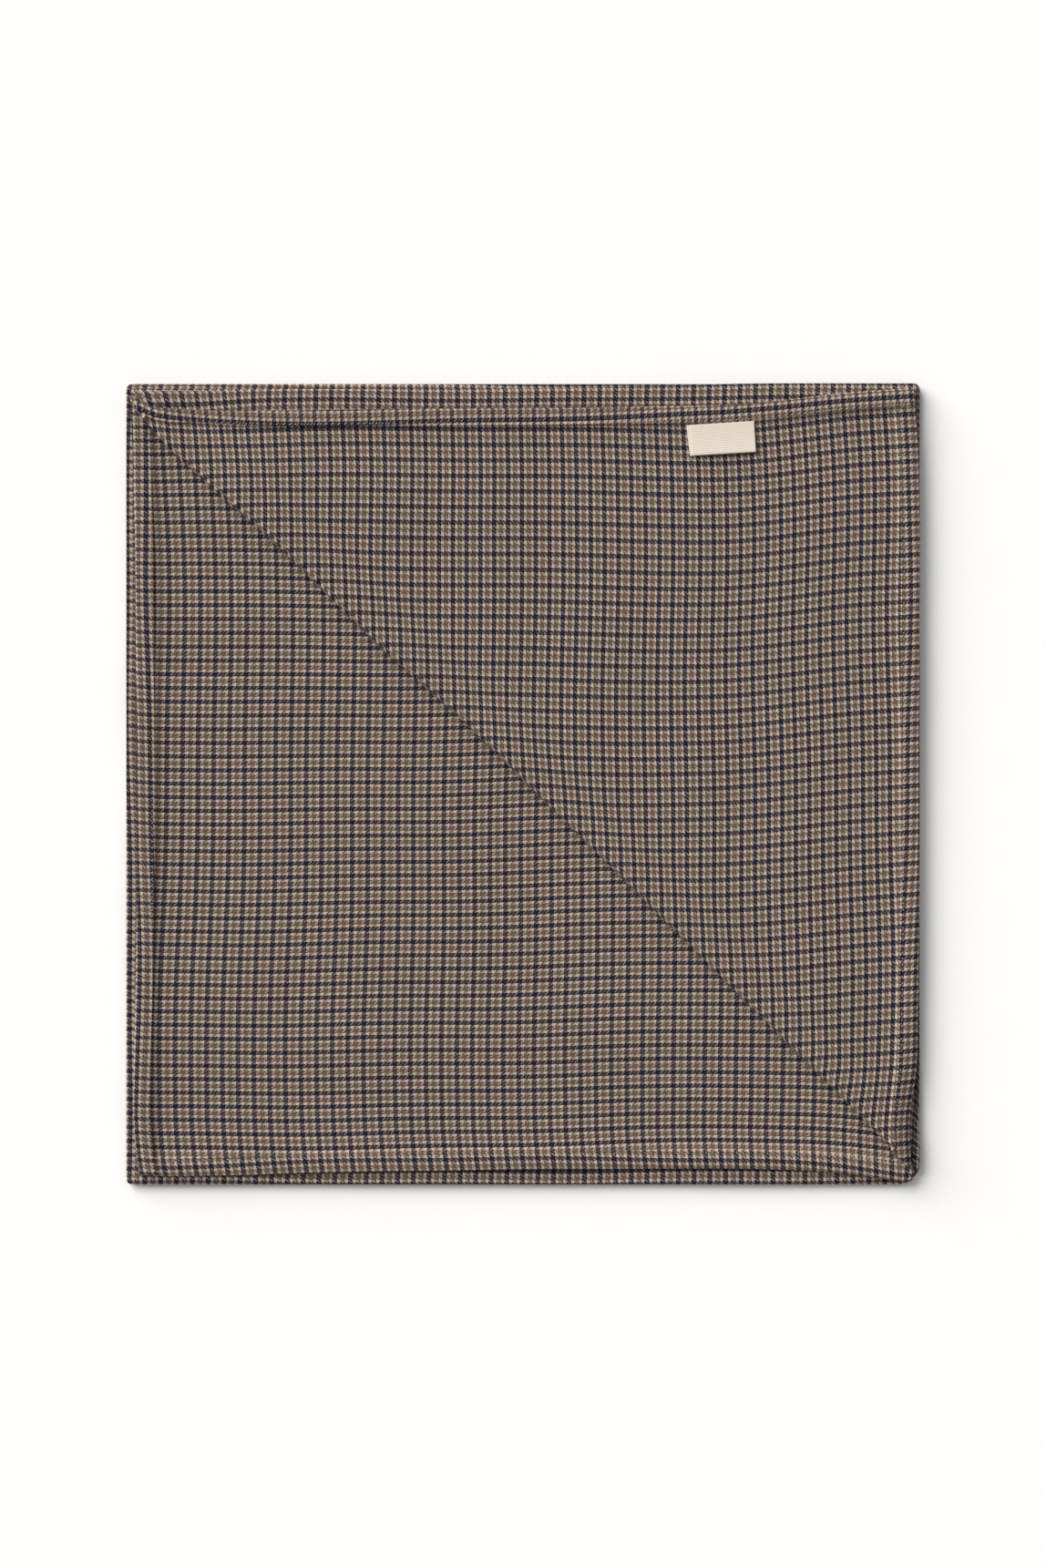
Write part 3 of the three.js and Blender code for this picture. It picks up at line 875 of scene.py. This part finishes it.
def wrong_side(middle, right_side, hem):
    """Points of the wrong side, which is up in quarter C and on the flap."""
    return middle - right_side * (CLOTH / 2 + hem)[:, None]


def c_surface(across, along):
    turned = np.full(across.shape, math.pi)
    return wrong_side(*quarter_points(across, along, turned, turned))


def flap_surface(down, left):
    return wrong_side(*flap_points(down, left))


def stitch_ends(surface, first_is_hem, start, lean):
    """Both ends of the stitches along one hem, from a distance to the corner on."""
    count = int((QUARTER - start) / STITCH_PITCH)
    place = (start + STITCH_PITCH * np.arange(count)) / QUARTER
    ends = []
    for side in (-0.5, 0.5):
        far = np.full(count, (STITCH_LINE + side * STITCH_ACROSS) / QUARTER)
        near = place + lean * side * STITCH_ALONG / QUARTER
        ends.append(surface(far, near) if first_is_hem else surface(near, far))
    return ends


def in_sight(ends, side):
    """Only the stitches on their own side of the flap's crease."""
    t, behind = against_crease(ends[0][:, :2])
    clear = side * (behind + read(CREASE_BOW, t)) > CLEAR_OF_CREASE
    return [end[clear] for end in ends]


seams = [
    in_sight(stitch_ends(c_surface, True, FIRST_STITCH, 1), -1),
    in_sight(stitch_ends(c_surface, False, FIRST_BESIDE_HEM, -1), -1),
    in_sight(stitch_ends(flap_surface, True, FIRST_STITCH, 1), 1),
    in_sight(stitch_ends(flap_surface, False, FIRST_BESIDE_HEM, -1), 1),
]
begins, finishes = (np.concatenate([seam[k] for seam in seams]) for k in (0, 1))
print(len(begins), "stitches show")

# %% Stitches as small tapered bodies
THREAD = 0.15
AROUND = 6

# Each ring of a stitch: its place from 0 to 1, its part of the thread's radius, and its rise in mm
STITCH_RINGS = [(0.12, 0.6, -0.10), (0.35, 1.0, 0.10), (0.65, 1.0, 0.10), (0.88, 0.6, -0.10)]


def stitch_rings(begins, finishes):
    """Points of a short capsule from each begin to its finish, bent down at both ends."""
    run = unit(finishes - begins)
    side = unit(np.cross(run, [0, 0, 1]))
    up = np.cross(side, run)
    angles = 2 * math.pi * np.arange(AROUND) / AROUND
    around = side[:, None] * np.cos(angles)[:, None] + up[:, None] * np.sin(angles)[:, None]
    rings = [begins[:, None] - up[:, None] * THREAD]
    for share, width, raised in STITCH_RINGS:
        centre = mix(begins, finishes, share) + up * raised
        rings.append(centre[:, None] + THREAD * width * around)
    rings.append(finishes[:, None] - up[:, None] * THREAD)
    return np.concatenate(rings, 1)


def stitch_cells(count, per_stitch):
    """Faces of so many capsules."""
    turn = np.arange(AROUND)
    beside = (turn + 1) % AROUND
    ends = [np.stack([0 * turn, 1 + turn, 1 + beside], -1)]
    last = per_stitch - 1
    ends.append(np.stack([last + 0 * turn, last - AROUND + beside, last - AROUND + turn], -1))
    walls = []
    for k in range(len(STITCH_RINGS) - 1):
        low = 1 + k * AROUND
        high = low + AROUND
        walls.append(np.stack([low + turn, high + turn, high + beside, low + beside], -1))
    offset = per_stitch * np.arange(count)[:, None, None]
    three = (np.concatenate(ends) + offset).reshape(-1, 3)
    four = (np.concatenate(walls) + offset).reshape(-1, 4)
    return [four, three]


stitch_points = stitch_rings(begins, finishes)
count, per_stitch, _ = stitch_points.shape
stitch_faces = stitch_cells(count, per_stitch)
number, share = np.divmod(np.arange(count * per_stitch), per_stitch)
stitch_map = np.stack([number / count, share / per_stitch], -1)
stitch_uvs = [stitch_map[cells] for cells in stitch_faces]
stitches = make_piece("hem_stitching", stitch_points.reshape(-1, 3), stitch_faces, stitch_uvs)

# %% [markdown]
# Shader maths in Python
#
# A weave is arithmetic: which thread, which of the two crosses over, and where on its float a point
# lies. Drawn by hand that would be dozens of Math nodes, so a small class wraps a socket, and an
# expression on it adds the nodes.

# %% A socket with arithmetic
class Shade:
    """A socket of a material. Arithmetic on it adds Math nodes, and node adds any other."""

    def __init__(self, tree, socket=None):
        self.tree = tree
        self.socket = socket

    def node(self, kind, settings, inputs, output=0):
        """One node: its type, its settings, then the values or links of its sockets."""
        made = self.tree.nodes.new(kind)
        for name, value in settings.items():
            if name == "stops":
                made.color_ramp.interpolation = "CONSTANT"
                for at, colour in value[1:]:
                    made.color_ramp.elements.new(at).color = (*colour, 1)
                made.color_ramp.elements[0].color = (*value[0][1], 1)
                made.color_ramp.elements.remove(made.color_ramp.elements[-1])
            else:
                setattr(made, name, value)
        for key, value in inputs.items():
            if isinstance(value, Shade):
                self.tree.links.new(value.socket, made.inputs[key])
            else:
                made.inputs[key].default_value = value
        return Shade(self.tree, made.outputs[output])

    def math(self, operation, first, *others):
        return self.node("ShaderNodeMath", {"operation": operation}, dict(enumerate((first, *others))))

    def __lt__(self, other):
        return self.math("LESS_THAN", self, other)

    def __abs__(self):
        return self.math("ABSOLUTE", self)

    def floor(self):
        return self.math("FLOOR", self)

    def between(self, first, second):
        """The colour between two others that this number gives, from 0 to 1."""
        colours = [one if isinstance(one, Shade) else (*one, 1) for one in (first, second)]
        return self.node("ShaderNodeMix", {"data_type": "RGBA"}, {0: self, 6: colours[0], 7: colours[1]}, 2)

    def dimmed(self, by):
        """This colour times a number."""
        return self.node("ShaderNodeVectorMath", {"operation": "SCALE"}, {0: self, "Scale": by})


OPERATORS = {"add": "ADD", "sub": "SUBTRACT", "mul": "MULTIPLY", "truediv": "DIVIDE", "mod": "FLOORED_MODULO"}


def overload(name, operation):
    """Give Shade one of Python's operators, with another value on either side."""
    setattr(Shade, f"__{name}__", lambda self, other: self.math(operation, self, other))
    setattr(Shade, f"__r{name}__", lambda self, other: self.math(operation, other, self))


for name, operation in OPERATORS.items():
    overload(name, operation)
print("a socket takes", len(OPERATORS), "of Python's operators")

# %% Materials and what they share
SPECULAR_LEVEL = 0.08
SHEEN_ROUGHNESS = 0.5


def new_material(name, sheen):
    """A matt surface, ready for its colour and its relief."""
    material = bpy.data.materials.new(name)
    material.use_nodes = True
    shader = material.node_tree.nodes["Principled BSDF"]
    shader.inputs["Specular IOR Level"].default_value = SPECULAR_LEVEL
    shader.inputs["Sheen Weight"].default_value = sheen
    shader.inputs["Sheen Roughness"].default_value = SHEEN_ROUGHNESS
    return material, shader, Shade(material.node_tree)


def feed(shader, name, shade):
    """Link an expression to a socket of the shader."""
    shade.tree.links.new(shade.socket, shader.inputs[name])


def noise(start, scale, detail):
    """A soft noise from 0 to 1 through the body of a piece."""
    body = start.node("ShaderNodeTexCoord", {}, {}, "Object")
    return start.node("ShaderNodeTexNoise", {}, {"Vector": body, "Scale": scale, "Detail": detail})


def map_parts(start):
    """The two numbers of the map's place."""
    place = start.node("ShaderNodeUVMap", {"uv_map": "OFBake"}, {})
    return [place.node("ShaderNodeSeparateXYZ", {}, {0: place}, axis) for axis in "XY"]


def bumped(start, height, strength, depth):
    """A normal that follows a relief of so many millimetres."""
    inputs = {"Strength": strength, "Distance": depth * MM, "Height": height}
    return start.node("ShaderNodeBump", {}, inputs)


print("every surface here is matt, with a specular level of", SPECULAR_LEVEL)

# %% [markdown]
# The houndstooth
#
# Both ways the threads come in the order 5 navy, 3 cream, 5 taupe, 3 cream. Each passes over two and
# under two of the others, and each row of crossings is shifted by one, which makes the twill's
# diagonals. Where a cream group crosses a dark one, those diagonals cut it into the teeth of the
# pattern. Woven from its threads it stays sharp at any size, and right on both sides and in the hems.

# %% The threads
NAVY = (0.013, 0.013, 0.029)
CREAM = (0.545, 0.437, 0.357)
TAUPE = (0.132, 0.091, 0.073)
ORDER = [(0, NAVY), (5 / 16, CREAM), (8 / 16, TAUPE), (13 / 16, CREAM)]
FINENESS = [(0, 3 * (0.0,)), (5 / 16, 3 * (1.0,)), (8 / 16, 3 * (0.5,)), (13 / 16, 3 * (1.0,))]
THREADS_PER_REPEAT = 16
THREADS_PER_UNIT = THREADS_PER_REPEAT * REPEATS_PER_UNIT

# How much of the finest thread the stoutest one covers, and the range of a thread's own tone
COVERED = 0.55
TONE_OF_THREAD = (0.88, 1.12)

# Another seed gives the threads other tones
THREAD_SEED = 0.37


def yarn(thread):
    """A thread's colour, and how fine it is."""
    in_order = (thread % THREADS_PER_REPEAT + 0.5) / THREADS_PER_REPEAT
    colour = in_order.node("ShaderNodeValToRGB", {"stops": ORDER}, {0: in_order})
    fineness = in_order.node("ShaderNodeValToRGB", {"stops": FINENESS}, {0: in_order})
    number = thread % THREADS_PER_UNIT + THREAD_SEED
    chance = number.node("ShaderNodeTexWhiteNoise", {"noise_dimensions": "1D"}, {"W": number})
    return colour.dimmed(mix(*TONE_OF_THREAD, chance)), fineness


def crossing(colour, fineness, other):
    """A thread's colour where it lies over another one. A stouter one covers part of it."""
    finer = fineness - other
    return colour.dimmed(1 - COVERED * finer.math("MAXIMUM", finer, 0.0))


print("one repeat has", THREADS_PER_REPEAT, "threads each way")

# %% The crossings
UPRIGHT_WIDTH = 0.85
ROUND_SHARE = 0.35


def crossings(start):
    """Numbers of the two threads at a point, the relief there, and where the upright one shows."""
    x, y = (part * THREADS_PER_UNIT for part in map_parts(start))
    upright, level = x.floor(), y.floor()
    fx, fy = x - upright, y - level
    phase = (upright - level) % 4
    upright_over = phase < 1.5
    across = fy + (fx - fy) * upright_over
    along = (phase - 2 + fx) + (3 - 2 * phase + fy - fx) * upright_over
    rounded = 1 - (2 * across - 1) * (2 * across - 1)
    arched = 1 - (along - 1) * (along - 1)
    relief = ROUND_SHARE * rounded + (1 - ROUND_SHARE) * arched
    shows = upright_over * (abs(fx - 0.5) < UPRIGHT_WIDTH / 2)
    return upright, level, relief, shows


print("an upright thread is", UPRIGHT_WIDTH, "of its place wide")

# %% The cloth's material
# The darkest and the lightest tone that each cause gives. The relief's range is painted shade, darker at the
# sides and ends of each float where the threads dip under each other; fibre, blotch and crossing give the
# yarn's own uneven tone
PAINTED_SHADE_OF_RELIEF = (0.36, 1.10)
TONE_OF_FIBRE = (0.70, 1.30)
TONE_OF_BLOTCH = (0.96, 1.04)
TONE_OF_CROSSING = (0.82, 1.18)
FIBRE_RISE = 0.35
CLOTH_ROUGHNESS = (0.84, 0.96)


def twill():
    """The scarf's cloth."""
    material, shader, start = new_material("houndstooth_twill", sheen=0.03)
    upright, level, relief, shows = crossings(start)
    upright_colour, upright_fineness = yarn(upright)
    level_colour, level_fineness = yarn(level)
    over = crossing(upright_colour, upright_fineness, level_fineness)
    under = crossing(level_colour, level_fineness, upright_fineness)
    cell = start.node("ShaderNodeCombineXYZ", {}, {0: upright, 1: level})
    loose = start.node("ShaderNodeTexWhiteNoise", {"noise_dimensions": "2D"}, {"Vector": cell})
    fibre = noise(start, scale=2600, detail=3)
    blotch = noise(start, scale=28, detail=2)
    # The relief darkens the colour as painted shade between the threads, on top of the yarn's own random tone
    tone = mix(*PAINTED_SHADE_OF_RELIEF, relief) * mix(*TONE_OF_FIBRE, fibre)
    tone = tone * mix(*TONE_OF_BLOTCH, blotch) * mix(*TONE_OF_CROSSING, loose)
    feed(shader, "Base Color", shows.between(under, over).dimmed(tone))
    feed(shader, "Roughness", mix(*CLOTH_ROUGHNESS, fibre))
    feed(shader, "Normal", bumped(start, relief + FIBRE_RISE * fibre, strength=0.6, depth=0.15))
    return material


cloth.data.materials.append(twill())
print("the cloth's material has", len(cloth.data.materials[0].node_tree.nodes), "nodes")

# %% [markdown]
# Label tape and sewing thread
#
# The tape is a cream cotton or viscose weave with fine ribs along its length, and its thread is softer
# and paler than the wool. The stitches are a single spun thread, so a fine fibre is enough.

# %% The tape
# The tape's colour with painted shade in the grooves, and its own colour on the ribs
TAPE_GROOVE_PAINTED_SHADE = (0.548, 0.487, 0.417)
TAPE_RIB = (0.708, 0.630, 0.540)
RIB_PITCH = 0.8
WEFT_PITCH = 0.30
WEFT_SHARE = 0.3
TAPE_TONE = (0.9, 1.1)
TAPE_ROUGHNESS = (0.74, 0.86)


def tape():
    """The label's ribbed tape."""
    material, shader, start = new_material("label_tape", sheen=0.08)
    by_length, by_drop = map_parts(start)
    ribs = by_drop * (2 * LABEL_DROP / RIB_PITCH)
    wefts = by_length * (LABEL_LENGTH / WEFT_PITCH)
    over_rib = ribs - ribs.floor() - 0.5
    over_weft = (wefts + 0.5 * ribs.floor()) % 1 - 0.5
    rib = 1 - 4 * over_rib * over_rib
    weft = 1 - 4 * over_weft * over_weft
    relief = mix(1 - WEFT_SHARE, 1, weft) * rib
    fibre = noise(start, scale=1800, detail=3)
    # The colour darkens in the grooves and between the wefts as painted shade
    feed(shader, "Base Color", relief.between(TAPE_GROOVE_PAINTED_SHADE, TAPE_RIB).dimmed(mix(*TAPE_TONE, fibre)))
    feed(shader, "Roughness", mix(*TAPE_ROUGHNESS, fibre))
    feed(shader, "Normal", bumped(start, relief, strength=0.7, depth=0.12))
    return material


label.data.materials.append(tape())
print("the tape's ribs are", RIB_PITCH, "mm apart")

# %% The sewing thread
THREAD_DARK = (0.42, 0.35, 0.28)
THREAD_LIGHT = (0.62, 0.54, 0.45)
THREAD_ROUGHNESS = (0.68, 0.82)


def sewing_thread():
    """The hems' thread."""
    material, shader, start = new_material("sewing_thread", sheen=0.05)
    fibre = noise(start, scale=3000, detail=2)
    feed(shader, "Base Color", fibre.between(THREAD_DARK, THREAD_LIGHT))
    feed(shader, "Roughness", mix(*THREAD_ROUGHNESS, fibre))
    feed(shader, "Normal", bumped(start, fibre, strength=0.5, depth=0.08))
    return material


stitches.data.materials.append(sewing_thread())
print("materials:", ", ".join(material.name for material in bpy.data.materials))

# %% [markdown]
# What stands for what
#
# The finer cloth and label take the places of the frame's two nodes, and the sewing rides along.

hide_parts("cloth")
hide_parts("label")
for piece, slot in ((cloth, "cloth"), (label, "label"), (stitches, "cloth")):
    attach(piece, "root")
for name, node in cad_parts.items():
    node.data.materials.clear()
    node.data.materials.append((label if name == "label" else cloth).data.materials[0])
print("pieces:", cloth.name, label.name, stitches.name)

# %% [markdown]
# Floor, light and camera
#
# The scarf lies on a white surface, seen from straight above. Its shadow falls to the right and the
# front, and is soft, so a broad lamp stands low at the back left. The room is a pale even light. The
# camera is high enough for a nearly flat view, with a long lens.

# %% Floor
FLOOR_SIZE = 3.0
FLOOR_BELOW = 0.0002
FLOOR_DARK = 3 * (0.855,)
FLOOR_LIGHT = 3 * (0.87,)
FLOOR_ROUGHNESS = 0.6


def floor_material():
    """A plain pale surface with a faint grain."""
    material, shader, start = new_material("pale_floor", sheen=0.0)
    grain = noise(start, scale=60, detail=2)
    feed(shader, "Base Color", grain.between(FLOOR_DARK, FLOOR_LIGHT))
    shader.inputs["Roughness"].default_value = FLOOR_ROUGHNESS
    return material


bpy.ops.mesh.primitive_plane_add(size=FLOOR_SIZE, location=(0, 0, -FLOOR_BELOW))
floor = bpy.context.object
floor.name = "floor"
floor.data.materials.append(floor_material())
print("the floor is", FLOOR_SIZE, "m wide")

# %% Light
LIGHT_FROM = Vector((-0.74, 0.67, 0))
LIGHT_RISE = math.radians(31)
LIGHT_WIDTH = math.radians(52)
LIGHT_STRENGTH = 4.75
LIGHT_COLOUR = (1.0, 0.985, 0.96)
ROOM_STRENGTH = 0.39
ROOM_COLOUR = (1.0, 1.0, 1.0, 1.0)

lamp = bpy.data.lights.new("broad_lamp", "SUN")
lamp.energy = LIGHT_STRENGTH
lamp.angle = LIGHT_WIDTH
lamp.color = LIGHT_COLOUR
key = put("broad_lamp", lamp)
toward = LIGHT_FROM.normalized() * math.cos(LIGHT_RISE) + Vector((0, 0, math.sin(LIGHT_RISE)))
key.rotation_euler = toward.to_track_quat("Z", "Y").to_euler()

world = bpy.data.worlds.new("room")
world.use_nodes = True
sky = world.node_tree.nodes["Background"]
sky.inputs["Color"].default_value = ROOM_COLOUR
sky.inputs["Strength"].default_value = ROOM_STRENGTH
bpy.context.scene.world = world
bpy.context.scene.view_settings.view_transform = "Standard"
print("the lamp stands", round(math.degrees(LIGHT_RISE)), "degrees high")

# %% Camera
LENS = 85
SENSOR = 36
FRAME_HEIGHT = 0.6918
EYE_LEVEL = 0.005

view = bpy.data.cameras.new("camera")
view.lens = LENS
view.sensor_width = SENSOR
camera = put("camera", view)
camera.location = (0, 0, EYE_LEVEL + FRAME_HEIGHT * LENS / SENSOR)
bpy.context.scene.camera = camera
print("the camera is", round(camera.location.z, 3), "m above the table")
